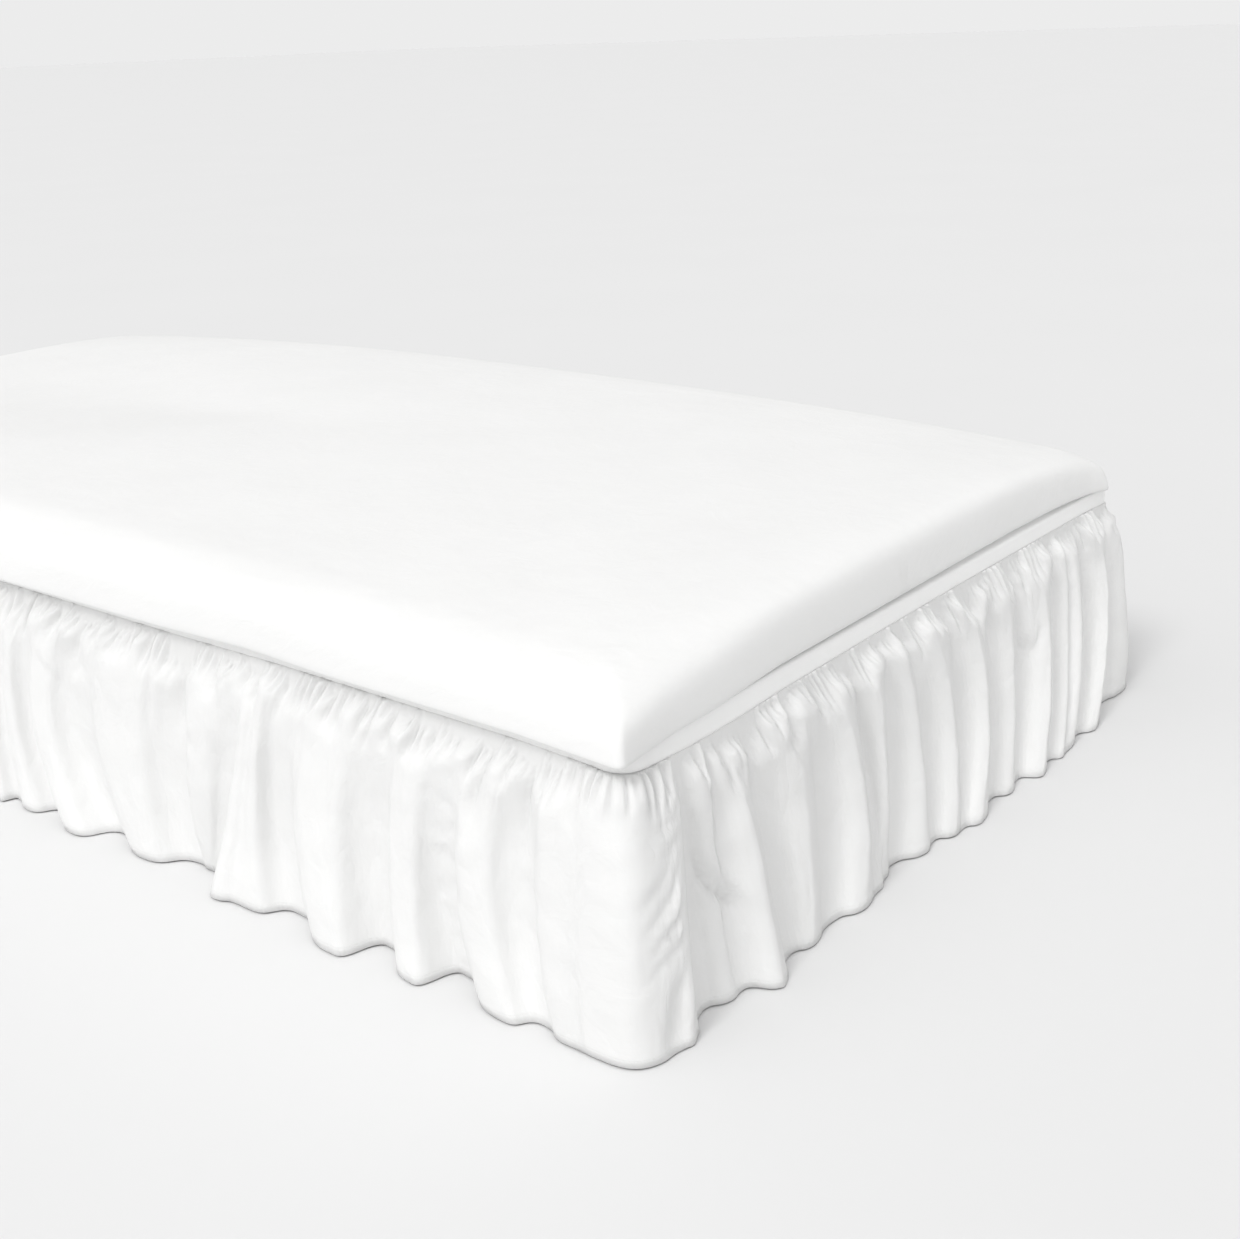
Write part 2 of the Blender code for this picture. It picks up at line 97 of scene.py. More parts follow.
# ---- the ruffle's folds ----
# One row for each crest and valley, from far up the left side to just round the right foot corner.
# *_at are stations at the seam, at BOW_AT of the drop and at the hem, so that a fold can bow.
# *_out is how far the cloth stands off the base, at MID_AT of the drop and at the hem.
FoldLine = namedtuple("FoldLine", "kind seam_at bow_at hem_at mid_out hem_out")
SEEN_FOLDS = in_metres(FoldLine, (
    ("crest", -925, -945, -926, 32, 52),
    ("valley", -905, -925, -913, 22, 36),
    ("crest", -880, -908, -872, 30, 47),
    ("valley", -848, -886, -836, 14, 24),
    ("crest", -800, -840, -775, 32, 53),
    ("valley", -748, -796, -728, 10, 18),
    ("crest", -660, -690, -658, 30, 42),
    ("valley", -572, -602, -592, 8, 12),
    ("crest", -528, -552, -576, 26, 16),
    ("valley", -480, -500, -556, 12, 16),
    ("crest", -462, -480, -518, 30, 54),
    ("valley", -452, -470, -494, 28, 47),
    ("crest", -442, -462, -468, 30, 47),
    ("valley", -410, -444, -424, 10, 22),
    ("crest", -335, -362, -330, 34, 57),
    ("valley", -264, -288, -300, 10, 14),
    ("crest", -222, -248, -229, 28, 47),
    ("valley", -176, -206, -203, 8, 6),
    ("crest", -132, -158, -115, 30, 44),
    ("valley", -88, -110, -84, 8, 27),
    # the broad smooth fold that wraps the left foot corner
    ("crest", -50, -62, -45, 30, 38),
    ("crest", -2, -4, -3, 31, 38),
    ("crest", 68, 50, 30, 36, 47),
    # foot of the bed, from a sharp pleat's edge on
    ("valley", 74, 78, 76, 3, 22),
    ("crest", 90, 104, 106, 14, 34),
    ("valley", 112, 116, 124, 14, 32),
    ("crest", 134, 150, 152, 34, 60),
    ("valley", 168, 194, 203, 8, 35),
    ("crest", 226, 244, 229, 28, 45),
    ("valley", 262, 298, 275, 10, 35),
    ("crest", 300, 336, 322, 32, 50),
    ("valley", 346, 380, 362, 8, 42),
    ("crest", 376, 398, 385, 24, 35),
    ("valley", 408, 434, 415, 6, 25),
    ("crest", 430, 462, 460, 26, 42),
    ("valley", 452, 494, 488, 10, 36),
    ("crest", 496, 532, 513, 30, 50),
    ("valley", 540, 578, 533, 12, 49),
    ("crest", 580, 610, 556, 34, 59),
    ("valley", 634, 662, 618, 10, 41),
    ("crest", 664, 692, 642, 26, 52),
    ("valley", 704, 728, 681, 10, 41),
    ("crest", 756, 772, 706, 36, 63),
    ("valley", 808, 826, 750, 12, 49),
    ("crest", 826, 842, 768, 28, 59),
    ("valley", 838, 852, 783, 24, 57),
    ("crest", 850, 866, 800, 34, 57),
    ("valley", 880, 914, 836, 10, 46),
    ("crest", 926, 944, 866, 36, 59),
    ("valley", 968, 972, 945, 14, 30),
    ("crest", 1004, 1008, 1003, 37, 40),
    # just round the right corner
    ("valley", 1046, 1052, 1050, 16, 18),
    ("crest", 1100, 1108, 1108, 29, 35),
))
FULL_AT = 0.13              # share of the drop over which the gathers fill out
MID_AT = 0.50
BOW_AT = 0.35
FULLNESS = {"crest": 0.020, "valley": 0.018}     # how far the cloth stands out at FULL_AT
# Out of view the folds keep the same uneven spacing and reach.
HIDDEN_PITCH = 0.098
HIDDEN_VALLEY_OUT = (0.008, 0.034)
HIDDEN_CREST_OUT = (0.042, 0.058)
HIDDEN_LEAN = 0.018
HIDDEN_BOW = 0.014
HIDDEN_UNEVEN = 0.2         # of the pitch
HIDDEN_MID = (0.35, 0.62)   # of its reach at the hem, what a valley and a crest have at MID_AT
HIDDEN_MID_OUT = 0.002
RUFFLE_END = 0.040          # the ruffle stops this far before each head corner

# Deep pinches that hang from the seam: where, how far down, how deep and how wide.
Pinch = namedtuple("Pinch", "station length depth width")
PINCHES = in_metres(Pinch, (
    (-870, 60, 7, 3.5), (-797, 55, 6, 3.2), (-745, 90, 7, 5),
    (-724, 50, 6, 3.2), (-676, 55, 4, 3.5), (-573, 120, 9, 4.5),
    (-462, 20, 5, 5), (-409, 60, 5, 4), (-300, 30, 3, 3.5),
    (-264, 22, 5, 3), (-242, 24, 5, 3), (-209, 40, 6, 3.2),
    (-162, 26, 6, 2.8), (-136, 110, 8, 3.5), (-108, 22, 4, 3),
    (-89, 120, 8, 4), (-62, 28, 5, 2.8), (-40, 30, 5, 2.8),
    (6, 34, 3, 2.6), (30, 50, 4, 3), (74, 200, 8, 4),
    (111, 100, 7, 3.4), (132, 85, 7, 3.4), (146, 60, 4, 3.4),
    (166, 120, 6, 6), (236, 60, 5, 4.5), (345, 150, 8, 4.5),
    (408, 110, 6, 4.5), (450, 80, 8, 3.4), (541, 90, 8, 3.4),
    (599, 95, 7, 3.4), (634, 110, 8, 3.6), (704, 80, 6, 4),
    (734, 40, 4, 3.6), (808, 110, 8, 4.4), (838, 70, 6, 3.4),
    (880, 130, 8, 5), (968, 100, 6, 4.6),
))

# Creases in the hanging cloth, from one place to another: a trough, or a ridge where depth is negative.
Crease = namedtuple("Crease", "station height to_station to_height depth width")
CREASES = in_metres(Crease, (
    # wrinkles across the strip between the left foot corner and the sharp pleat
    (48, 214, 18, 206, 1.2, 3.5), (50, 207, 20, 197, -1, 3.5),
    (44, 196, 22, 182, 0.8, 4), (33, 166, 8, 122, 1.8, 4),
    (34, 152, 10, 114, -1.5, 4), (24, 172, 6, 146, 1.3, 4),
    (31, 136, 8, 102, 1.6, 4), (29, 122, 10, 96, -1.3, 4),
    (27, 110, 10, 86, 1.3, 4),
    # the pleat's slit, and the hollow by the hem
    (47, 104, 56, 50, 8, 3), (22, 66, 18, 4, 5, 4.5),
    # the long crease that curves out of the pleat's hollow, with its ridge above
    (66, 190, 86, 146, 4, 3.6), (86, 146, 110, 106, 5.2, 3.6),
    (110, 106, 134, 84, 4, 4), (96, 158, 120, 114, -3, 5.5),
    (120, 114, 144, 94, -2.4, 5.5), (70, 100, 100, 72, -1.6, 6),
    # short ones high on the foot
    (92, 226, 112, 200, 1.6, 3.5), (146, 220, 160, 196, 1.6, 3.5),
    (232, 214, 246, 188, 1.8, 4), (402, 214, 416, 186, 1.6, 4),
    # the pocket that sags towards the right corner
    (724, 212, 738, 150, 3, 4.5), (738, 150, 750, 134, 3, 4.5),
    (750, 134, 762, 160, 2.4, 4.5), (744, 190, 748, 150, -2.6, 7),
    # small wrinkles slanting across the valleys of the long left side
    (-224, 196, -180, 180, 1.3, 3.5), (-176, 168, -222, 150, 1.4, 3.5),
    (-228, 134, -180, 116, 1.5, 3.8), (-176, 104, -226, 88, 1.4, 3.8),
    (-228, 70, -186, 56, 1.4, 3.8), (-180, 44, -220, 30, 1.2, 3.8),
    (-116, 136, -88, 112, 1.2, 4), (-120, 96, -94, 72, 1.2, 4),
    (-300, 140, -270, 118, 1.1, 4), (-592, 176, -560, 150, 1.4, 4),
    (-600, 146, -566, 122, 1.3, 4), (-770, 200, -800, 176, 1.4, 4.5),
    (-842, 196, -812, 170, 1.4, 4.5), (-52, 232, -40, 214, 1, 6),
    # and the longer, softer ones on its broad faces
    (-340, 230, -356, 120, 1.2, 6), (-245, 240, -262, 150, 1.4, 5),
    (-385, 236, -402, 140, 1.4, 5), (-520, 240, -536, 130, 1.4, 5.5),
    (-630, 236, -650, 150, 1.4, 5.5), (-30, 190, -22, 60, 0.7, 9),
))


# ---- settings ----
class RuffleSettings(bpy.types.PropertyGroup):
    thickness: FloatProperty(name="Thickness", description="Thickness of the ruffle's cloth",
                             default=0.0012, min=0.0005, unit="LENGTH")
    hem_height: FloatProperty(name="Hem height", description="Hem's clearance over the floor",
                              default=0.002, min=0.0, unit="LENGTH")
    seen_step: FloatProperty(name="Seen step", description="Mesh step along the seam where folds show",
                             default=0.0023, min=0.001, unit="LENGTH")
    hidden_step: FloatProperty(name="Far step", description="Mesh step along the seam further round",
                               default=0.0084, min=0.001, unit="LENGTH")
    rows: IntProperty(name="Rows", description="Mesh rows from the seam to the hem", default=38, min=8)
    gather_depth: FloatProperty(name="Gather depth", description="Depth of the small gathers",
                                default=0.0125, min=0.0, unit="LENGTH")
    crumple: FloatProperty(name="Crumple", description="Unevenness of the hanging cloth",
                           default=0.0016, min=0.0, unit="LENGTH")


class BandSettings(bpy.types.PropertyGroup):
    thickness: FloatProperty(name="Thickness", description="Thickness of the band's cloth",
                             default=0.0014, min=0.0005, unit="LENGTH")
    stand_off: FloatProperty(name="Stand-off", description="Band's face from the base's face",
                             default=0.0023, min=0.0, unit="LENGTH")
    turn_in: FloatProperty(name="Turn-in", description="How far the band reaches in past its shoulder",
                           default=0.010, min=0.0, unit="LENGTH")


class MattressSettings(bpy.types.PropertyGroup):
    width: FloatProperty(name="Width", description="Width of the mattress", default=1.001, unit="LENGTH")
    length: FloatProperty(name="Length", description="Length of the mattress", default=1.991,
                          unit="LENGTH")
    corner: FloatProperty(name="Corner radius", description="Radius of its corners in plan, at its lip",
                          default=0.008, unit="LENGTH")
    top_corner: FloatProperty(name="Top corner radius", description="Radius of its corners on top",
                              default=0.026, unit="LENGTH")
    crown: FloatProperty(name="Crown", description="How far its middle stands above its sides",
                         default=0.012, unit="LENGTH")
    droop: FloatProperty(name="Droop", description="How much of its lip's sag it takes", default=1.0,
                         min=0.0, max=1.5, subtype="FACTOR")


class ColourSettings(bpy.types.PropertyGroup):
    cotton: FloatVectorProperty(name="Skirt cotton", description="Colour of the ruffle and the band",
                                subtype="COLOR", size=3, default=(0.79, 0.79, 0.785))
    sheet: FloatVectorProperty(name="Sheet cotton", description="Colour of the mattress's sheet",
                               subtype="COLOR", size=3, default=(0.81, 0.81, 0.805))
    cover: FloatVectorProperty(name="Base cloth", description="Colour of the base's cover",
                               subtype="COLOR", size=3, default=(0.72, 0.71, 0.69))
    wood: FloatVectorProperty(name="Leg wood", description="Colour of the legs",
                              subtype="COLOR", size=3, default=(0.52, 0.36, 0.21))
    floor: FloatVectorProperty(name="Floor", description="Colour of the studio floor",
                               subtype="COLOR", size=3, default=(0.72, 0.72, 0.72))


class StudioSettings(bpy.types.PropertyGroup):
    key_power: FloatProperty(name="Key light", description="Strength of the large light on the left",
                             default=1.0, min=0.0)
    sky: FloatProperty(name="Sky", description="Brightness of the surroundings", default=0.456, min=0.0)
    horizon: FloatProperty(name="Horizon", description="Brightness where the floor ends",
                           default=0.84, min=0.0)


class BedSkirtSettings(bpy.types.PropertyGroup):
    ruffle: PointerProperty(type=RuffleSettings)
    band: PointerProperty(type=BandSettings)
    mattress: PointerProperty(type=MattressSettings)
    colours: PointerProperty(type=ColourSettings)
    studio: PointerProperty(type=StudioSettings)


# ---- places on the bed ----
CORNER_STATIONS = np.array([0.0, BED_WIDTH, BED_WIDTH + BED_LENGTH, 2 * BED_WIDTH + BED_LENGTH])
CORNER_SIGNS = np.array([(-1, -1), (1, -1), (1, 1), (-1, 1)])


def headings(angle):
    return np.stack([np.cos(angle), np.sin(angle)], axis=-1)


def plan_places(stations, outs):
    """Places on the base's rounded edge at these stations, moved `outs` away from the bed."""
    stations, outs = np.broadcast_arrays(np.asarray(stations, float), outs)
    ahead = (stations[..., None] - CORNER_STATIONS + AROUND / 2) % AROUND - AROUND / 2
    index = np.abs(ahead).argmin(axis=-1)
    ahead = np.take_along_axis(ahead, index[..., None], axis=-1)
    signs = CORNER_SIGNS[index]
    corner = signs * (BED_WIDTH / 2, BED_LENGTH / 2) + (BASE_MIDDLE.x, BASE_MIDDLE.y)
    before = math.pi * (1 + index / 2)          # outward angle of the side before the corner
    along = ahead[..., 0]
    squared = before + np.where(along > 0, math.pi / 2, 0.0)
    out = outs[..., None]
    # round close to the bed, and a soft edge where the cloth stands well off it
    share = np.clip(along / CORNER_RADIUS + 1, 0.0, 2.0) / 2
    turned = headings(before + share * math.pi / 2)
    share = share[..., None]
    edged = (headings(before) * (1 - share ** CORNER_POWER)
             + headings(before + math.pi / 2) * (1 - (1 - share) ** CORNER_POWER))
    turned = turned + (edged - turned) * np.clip(out / EDGED_OUT, 0.0, 1.0)
    rounded = corner - CORNER_RADIUS * signs + (CORNER_RADIUS + out) * turned
    straight = corner + ahead * headings(squared + math.pi / 2) + out * headings(squared)
    return np.where(np.abs(ahead) < CORNER_RADIUS, rounded, straight)


def seam_heights(stations):
    """Height of the seam at these stations."""
    wrapped = np.where(stations > BED_WIDTH + BED_LENGTH, stations - AROUND, stations)
    return np.interp(wrapped, [p.station for p in SEAM], [p.height for p in SEAM])


def through(share, first, at, middle, last):
    """A parabola over a share from 0 to 1, with the value `middle` at `at`."""
    return (first * (share - at) * (share - 1) / at
            + middle * share * (share - 1) / (at * (at - 1))
            + last * share * (share - at) / (1 - at))


def ease(share):
    """From 0 to 1 along half a cosine wave, level at both ends."""
    return (1 - np.cos(np.pi * np.clip(share, 0.0, 1.0))) / 2


Waves = namedtuple("Waves", "height scale stretch seed")


def unevenness(waves, across, up):
    """Height of these uneven waves over the flat cloth; stretched ones run up it."""
    height = 0.0
    for wave in waves:
        shift = Vector((wave.seed * 7.3, wave.seed * 3.1, wave.seed * 5.7))
        height = height + wave.height * np.array([
            noise.noise(Vector((a * wave.stretch, b, 0.0)) * wave.scale + shift)
            for a, b in zip(across, up)])
    return height


# ---- making pieces ----
def mesh_data(mesh, name):
    """A finished bmesh, as the data of a new object."""
    data = bpy.data.meshes.new(name)
    mesh.to_mesh(data)
    mesh.free()
    return data


def vertex_places(data):
    places = np.empty(len(data.vertices) * 3)
    data.vertices.foreach_get("co", places)
    return places.reshape(-1, 3)


def grid_mesh(name, columns, rows):
    """A grid's mesh, with each vertex's column and row: columns run along +X and rows along +Y."""
    mesh = bmesh.new()
    bmesh.ops.create_grid(mesh, x_segments=columns, y_segments=rows, size=1.0)
    data = mesh_data(mesh, name)
    share = (vertex_places(data)[:, :2] + 1) / 2
    return data, np.rint(share[:, 0] * columns).astype(int), np.rint(share[:, 1] * rows).astype(int)


def place_vertices(data, places):
    data.vertices.foreach_set("co", np.ascontiguousarray(places, dtype=np.float32).ravel())
    data.update()


def lay_out_cloth(data, flat):
    """The piece's own UV map, in metres on the flat cloth."""
    corners = np.empty(len(data.loops), dtype=np.int32)
    data.loops.foreach_get("vertex_index", corners)
    layer = data.uv_layers.new(name="Cloth")
    layer.data.foreach_set("uv", np.ascontiguousarray(flat[corners], dtype=np.float32).ravel())


def add_piece(name, data, finish):
    """Put a mesh into the scene as a piece that rides with the bed."""
    piece = bpy.data.objects.new(name, data)
    bpy.context.scene.collection.objects.link(piece)
    data.materials.append(finish)
    data.shade_smooth()
    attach(piece, BODY)
    return piece


def thicken(piece, thickness):
    """Give a sheet its thickness, inwards from the face that is modelled."""
    wall = piece.modifiers.new("Thickness", "SOLIDIFY")
    wall.thickness = thickness
    wall.offset = -1.0
    wall.use_even_offset = False


# ---- finishes ----
class Wire:
    """A shader value: arithmetic on it adds the Math nodes."""

    def __init__(self, tree, socket):
        self.tree = tree
        self.socket = socket

    def math(self, operation, *others):
        node = self.tree.nodes.new("ShaderNodeMath")
        node.operation = operation
        for socket, value in zip(node.inputs, others):
            plug(self.tree, socket, value)
        return Wire(self.tree, node.outputs[0])

    def __add__(self, other):
        return self.math("ADD", self, other)

    def __sub__(self, other):
        return self.math("SUBTRACT", self, other)

    def __rsub__(self, other):
        return self.math("SUBTRACT", other, self)

    def __mul__(self, other):
        return self.math("MULTIPLY", self, other)

    def __truediv__(self, other):
        return self.math("DIVIDE", self, other)

    def __abs__(self):
        return self.math("ABSOLUTE", self)

    __radd__ = __add__
    __rmul__ = __mul__

    def sine(self):
        return self.math("SINE", self)

    def at_most(self, other):
        return self.math("MINIMUM", self, other)

    def at_least(self, other):
        return self.math("MAXIMUM", self, other)


def plug(tree, socket, value):
    """Link a wire to a socket, or set the socket's own value."""
    if isinstance(value, Wire):
        tree.links.new(value.socket, socket)
    else:
        socket.default_value = value


class Finish:
    """A material and its Principled shader, built up node by node."""

    def __init__(self, name):
        self.material = bpy.data.materials.new(name)
        self.material.use_nodes = True
        self.tree = self.material.node_tree
        self.shader = self.tree.nodes["Principled BSDF"]

    def node(self, kind, settings=None, values=None, output=0):
        """Add a node: its settings first, then its sockets' values or links."""
        made = self.tree.nodes.new(kind)
        for name, setting in (settings or {}).items():
            setattr(made, name, setting)
        for name, value in (values or {}).items():
            plug(self.tree, made.inputs[name], value)
        return Wire(self.tree, made.outputs[output])

    def set(self, **values):
        for name, value in values.items():
            plug(self.tree, self.shader.inputs[name.replace("_", " ")], value)

    def between(self, factor, first, second):
        """A colour between two colours."""
        made = self.tree.nodes.new("ShaderNodeMix")
        made.data_type = "RGBA"
        plug(self.tree, made.inputs[0], factor)
        plug(self.tree, made.inputs[6], first)
        plug(self.tree, made.inputs[7], second)
        return Wire(self.tree, made.outputs[2])

    def axes(self, vector):
        """The three parts of a vector."""
        made = self.tree.nodes.new("ShaderNodeSeparateXYZ")
        plug(self.tree, made.inputs[0], vector)
        return [Wire(self.tree, socket) for socket in made.outputs]

    def cloth_place(self):
        """Place on the flat cloth, in metres."""
        return self.node("ShaderNodeUVMap", {"uv_map": "Cloth"})

    def object_place(self):
        return self.node("ShaderNodeTexCoord", output=3)

    def stretched(self, vector, scale):
        """A place scaled by a number for each axis."""
        return self.node("ShaderNodeMapping", {"vector_type": "POINT"},
                         {"Vector": vector, "Scale": scale})

    def cloud(self, vector, scale, detail=2.0, distortion=0.0):
        """Noise from 0 to 1."""
        return self.node("ShaderNodeTexNoise", {"noise_dimensions": "3D"},
                         {"Vector": vector, "Scale": scale, "Detail": detail,
                          "Distortion": distortion})

    def relief(self, height):
        """Bump from a height in metres."""
        bump = self.node("ShaderNodeBump", values={"Height": height, "Distance": 1.0})
        self.set(Normal=bump)


def shade_of(colour, factor):
    """A colour made lighter or darker, with full alpha."""
    return tuple(min(1.0, part * factor) for part in colour) + (1.0,)


THREAD_PITCH = 0.0009       # of the plain weave
THREAD_RELIEF = 0.00003
STITCH_PITCH = 0.0036
STITCH_SHARE = 0.6          # the higher, the longer each stitch
STITCH_HALF_WIDTH = 0.0009
GROOVE_HALF_WIDTH = 0.0014  # of the groove that a row of stitches pulls in
# painted shade: how much darker the colour is in the stitches' groove
GROOVE_PAINTED_SHADE = 0.08
SEWN_RELIEF = 0.0002        # of a stitch, of its groove and of the hem's second layer
HEM_STEP_WIDTH = 0.0012


def weave(u, v):
    """Plain weave: threads over and under one another."""
    turn = 2 * math.pi / THREAD_PITCH
    return (u * turn).sine() * (v * turn).sine() * THREAD_RELIEF


def stitches(u, v, at):
    """A row of stitches along u at the height v = at: 1 on a stitch, 0 off it."""
    near = (1 - abs(v - at) / STITCH_HALF_WIDTH).at_least(0.0)
    beat = ((u * (2 * math.pi / STITCH_PITCH)).sine() + STITCH_SHARE).at_least(0.0).at_most(1.0)
    return near * beat


# Depths of each cloth's fine crumples and of its soft facets.
CRUMPLED = {"ruffle": (0.0009, 0.0034), "band": (0.0005, 0.0008), "sheet": (0.0006, 0.0006)}
FINE_SHARE = 0.25           # of a crumple's depth, what the finest wrinkles have


def cotton_finish(cloth, colour, hem_at=None, stitch_at=None):
    """White woven cotton, where given with the hem's upper edge and a row of stitches at these heights,
    with painted shade in the stitches' groove.
    """
    finish = Finish(cloth + "_cotton_cloth")
    crumple, facet = CRUMPLED[cloth]
    place = finish.cloth_place()
    u, v, _ = finish.axes(place)
    slubs = finish.cloud(finish.stretched(place, (30.0, 900.0, 1.0)), 1.0, detail=1.0)
    soft = finish.cloud(place, 9.0, detail=2.0)
    creased = finish.cloud(place, 34.0, detail=3.0, distortion=1.2)
    fine = finish.cloud(finish.stretched(place, (1.0, 0.45, 1.0)), 120.0, detail=2.0, distortion=0.6)
    facets = abs(finish.cloud(finish.stretched(place, (1.0, 0.6, 1.0)), 24.0, distortion=0.2) - 0.5)
    height = weave(u, v) + creased * crumple + fine * (crumple * FINE_SHARE) + facets * facet
    tone = soft * 0.7 + slubs * 0.3
    if hem_at is not None:
        doubled = ((hem_at - v) / HEM_STEP_WIDTH).at_least(0.0).at_most(1.0)
        height = height + doubled * SEWN_RELIEF
    if stitch_at is not None:
        groove = (1 - abs(v - stitch_at) / GROOVE_HALF_WIDTH).at_least(0.0)
        height = height - groove * SEWN_RELIEF + stitches(u, v, stitch_at) * SEWN_RELIEF
        # painted shade: the colour is darkened along the stitches' groove
        tone = tone - groove * GROOVE_PAINTED_SHADE
    finish.set(Base_Color=finish.between(tone, shade_of(colour, 0.965), shade_of(colour, 1.02)),
               Roughness=0.78 + fine * 0.12, Sheen_Weight=0.12, Sheen_Roughness=0.5)
    finish.shader.inputs["Specular IOR Level"].default_value = 0.25
    finish.relief(height)
    return finish.material


def cover_finish(colour):
    """The base's plain cover cloth, with coarse threads both ways."""
    finish = Finish("base_cover_cloth")
    place = finish.object_place()
    across = finish.cloud(finish.stretched(place, (70.0, 70.0, 1100.0)), 1.0, detail=1.0)
    upright = finish.cloud(finish.stretched(place, (1100.0, 1100.0, 70.0)), 1.0, detail=1.0)
    soft = finish.cloud(place, 5.0, detail=2.0)
    tone = across * 0.35 + upright * 0.35 + soft * 0.3
    finish.set(Base_Color=finish.between(tone, shade_of(colour, 0.86), shade_of(colour, 1.10)),
               Roughness=0.85 + soft * 0.1)
    finish.relief((across + upright) * 0.0004 + soft * 0.0012)
    return finish.material


def wood_finish(colour):
    """Satin wood, its grain running up the legs."""
    finish = Finish("leg_satin_wood")
    place = finish.object_place()
    grain = finish.cloud(finish.stretched(place, (90.0, 90.0, 5.0)), 1.0, detail=4.0, distortion=0.8)
    pores = finish.cloud(finish.stretched(place, (800.0, 800.0, 30.0)), 1.0, detail=1.0)
    finish.set(Base_Color=finish.between(grain, shade_of(colour, 0.72), shade_of(colour, 1.2)),
               Roughness=0.38 + pores * 0.2)
    finish.relief(pores * 0.0001 + grain * 0.0002)
    return finish.material


def floor_finish(colour):
    """A plain pale floor."""
    finish = Finish("studio_floor")
    place = finish.object_place()
    soft = finish.cloud(place, 1.5, detail=2.0)
    finish.set(Base_Color=finish.between(soft, shade_of(colour, 0.99), shade_of(colour, 1.01)),
               Roughness=0.9)
    return finish.material


# ---- the ruffle's shape ----
def hidden_folds(first, last, seed):
    """Fold lines for a stretch out of view, starting on a valley."""
    rng = random.Random(seed)
    bows = random.Random(seed + 1)
    flanks = 2 * round((last - first) / HIDDEN_PITCH)
    lines = []
    for i in range(flanks + 1):
        station = first + (last - first) * i / flanks
        if 0 < i < flanks:
            station += rng.uniform(-HIDDEN_UNEVEN, HIDDEN_UNEVEN) * HIDDEN_PITCH / 2
        kind = "crest" if i % 2 else "valley"
        reach = rng.uniform(*(HIDDEN_CREST_OUT if i % 2 else HIDDEN_VALLEY_OUT))
        lean = rng.uniform(-HIDDEN_LEAN, HIDDEN_LEAN) if 0 < i < flanks else 0.0
        bow = bows.uniform(-HIDDEN_BOW, HIDDEN_BOW) if 0 < i < flanks else 0.0
        mid = reach * HIDDEN_MID[i % 2] + HIDDEN_MID_OUT
        lines.append(FoldLine(kind, station, station + lean / 2 + bow, station + lean, mid, reach))
    return lines


def fold_lines():
    """Every crest and valley, from the left head end round the foot to the right head end."""
    left_end = -(BED_LENGTH - RUFFLE_END)
    right_end = BED_WIDTH + BED_LENGTH - RUFFLE_END
    spare = HIDDEN_PITCH / 2
    left = hidden_folds(left_end, SEEN_FOLDS[0].seam_at - spare, seed=11)
    right = hidden_folds(SEEN_FOLDS[-1].seam_at + spare, right_end, seed=23)
    return left + list(SEEN_FOLDS) + right


ColumnLines = namedtuple("ColumnLines", "seam_at bow_at hem_at full_out mid_out hem_out")
FILL_POWER = 0.55           # below 1, the gathers fill out quickly under the seam
VALLEY_NARROWING = 1.35     # above 1, valleys are narrower than crests
FLANK_STEEPNESS = 0.45      # from 0, a plain wave, towards 1, upright flanks
RIDGE_POWER = 1.7           # on the foot and the right side, crests are ridges between broad valleys
RIDGE_SHARE = 0.65
RIDGE_FROM = 0.045          # station where they begin


def fold_turn(start, end, share):
    """Share of the way from one line's reach to the next line's."""
    if start.kind == end.kind:
        return ease(share)
    from_valley = share if start.kind == "valley" else 1 - share
    height = 1 - (1 - ease(from_valley)) ** VALLEY_NARROWING
    if start.seam_at > RIDGE_FROM:
        ridge = from_valley ** RIDGE_POWER
        height = ease(from_valley) + (ridge - ease(from_valley)) * RIDGE_SHARE
    return height if start.kind == "valley" else 1 - height


def column_lines(lines, seen_step, hidden_step):
    """A finer line between the fold lines for each column of the mesh, as arrays."""
    seen_from, seen_to = SEEN_FOLDS[0].seam_at, SEEN_FOLDS[-1].seam_at
    pieces = []
    for start, end in zip(lines, lines[1:]):
        step = seen_step if seen_from <= start.seam_at < seen_to else hidden_step
        count = max(3, round((end.seam_at - start.seam_at) / step))
        share = np.arange(count) / count
        turn = fold_turn(start, end, share)
        swing = np.sin(2 * np.pi * share) / (2 * np.pi)     # brings a flank's columns together
        pieces.append((
            start.seam_at + (end.seam_at - start.seam_at) * share,
            start.bow_at + (end.bow_at - start.bow_at) * (share + FLANK_STEEPNESS * swing),
            start.hem_at + (end.hem_at - start.hem_at) * (share + FLANK_STEEPNESS * swing),
            FULLNESS[start.kind] + (FULLNESS[end.kind] - FULLNESS[start.kind]) * turn,
            start.mid_out + (end.mid_out - start.mid_out) * turn,
            start.hem_out + (end.hem_out - start.hem_out) * (ease(share) + turn) / 2,
        ))
    last = lines[-1]
    pieces.append(([last.seam_at], [last.bow_at], [last.hem_at], [FULLNESS[last.kind]],
                   [last.mid_out], [last.hem_out]))
    return ColumnLines(*(np.concatenate(part) for part in zip(*pieces)))


def stand_off(drop, seam_out, full_out, mid_out, hem_out):
    """How far the cloth stands off the base at a share of its drop."""
    filled = np.clip(drop / FULL_AT, 0.0, 1.0) ** FILL_POWER
    puff = seam_out + (full_out - seam_out) * np.sin(np.pi / 2 * filled)
    a, b, c = FULL_AT, MID_AT, 1.0
    hang = (full_out * (drop - b) * (drop - c) / ((a - b) * (a - c))
            + mid_out * (drop - a) * (drop - c) / ((b - a) * (b - c))
            + hem_out * (drop - a) * (drop - b) / ((c - a) * (c - b)))
    return np.where(drop < FULL_AT, puff, hang)


